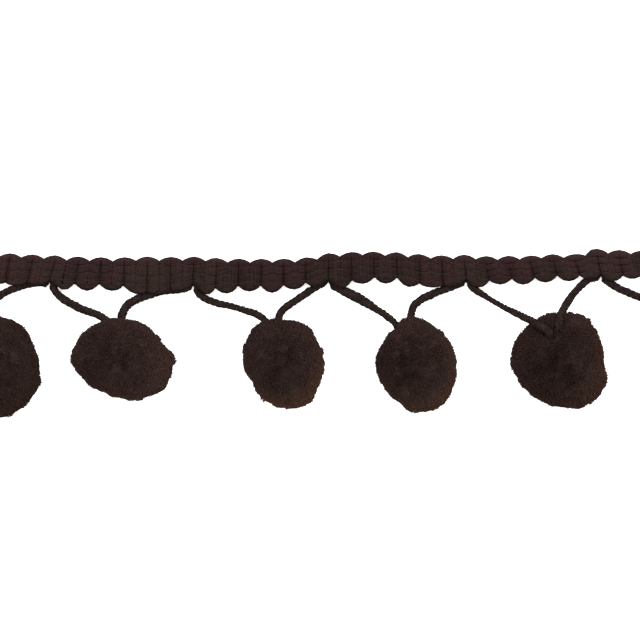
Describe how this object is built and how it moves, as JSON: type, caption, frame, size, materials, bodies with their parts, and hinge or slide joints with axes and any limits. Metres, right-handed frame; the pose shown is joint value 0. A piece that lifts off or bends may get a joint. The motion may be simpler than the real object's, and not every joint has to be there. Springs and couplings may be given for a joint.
{
  "type": "pompom fringe trim",
  "caption": "Narrow woven heading with round cut-pile pompoms hung below it on a looped cord, for edging curtains, cushions and clothes.",
  "frame": {"origin": "a point on the flat back of the heading, at the middle of its width and near the middle of its length", "axes": "+X along the heading, -Y towards the pompoms, +Z out of the front of the trim; the trim lies on its back on the plane Z = 0"},
  "size_m": [0.1545, 0.0294, 0.0157],
  "materials": {
    "heading_braid": "matte ribbed braid, dark brown",
    "cord_yarn": "matte corded yarn, dark brown",
    "pompom_pile": "matte cut pile, dark brown"
  },
  "bodies": {
    "root": {"heading": "heading_braid", "pendant_cord": "cord_yarn", "pompom_1": "pompom_pile", "pompom_2": "pompom_pile", "pompom_3": "pompom_pile", "pompom_4": "pompom_pile", "pompom_5": "pompom_pile", "pompom_6": "pompom_pile"}
  },
  "joints": []
}
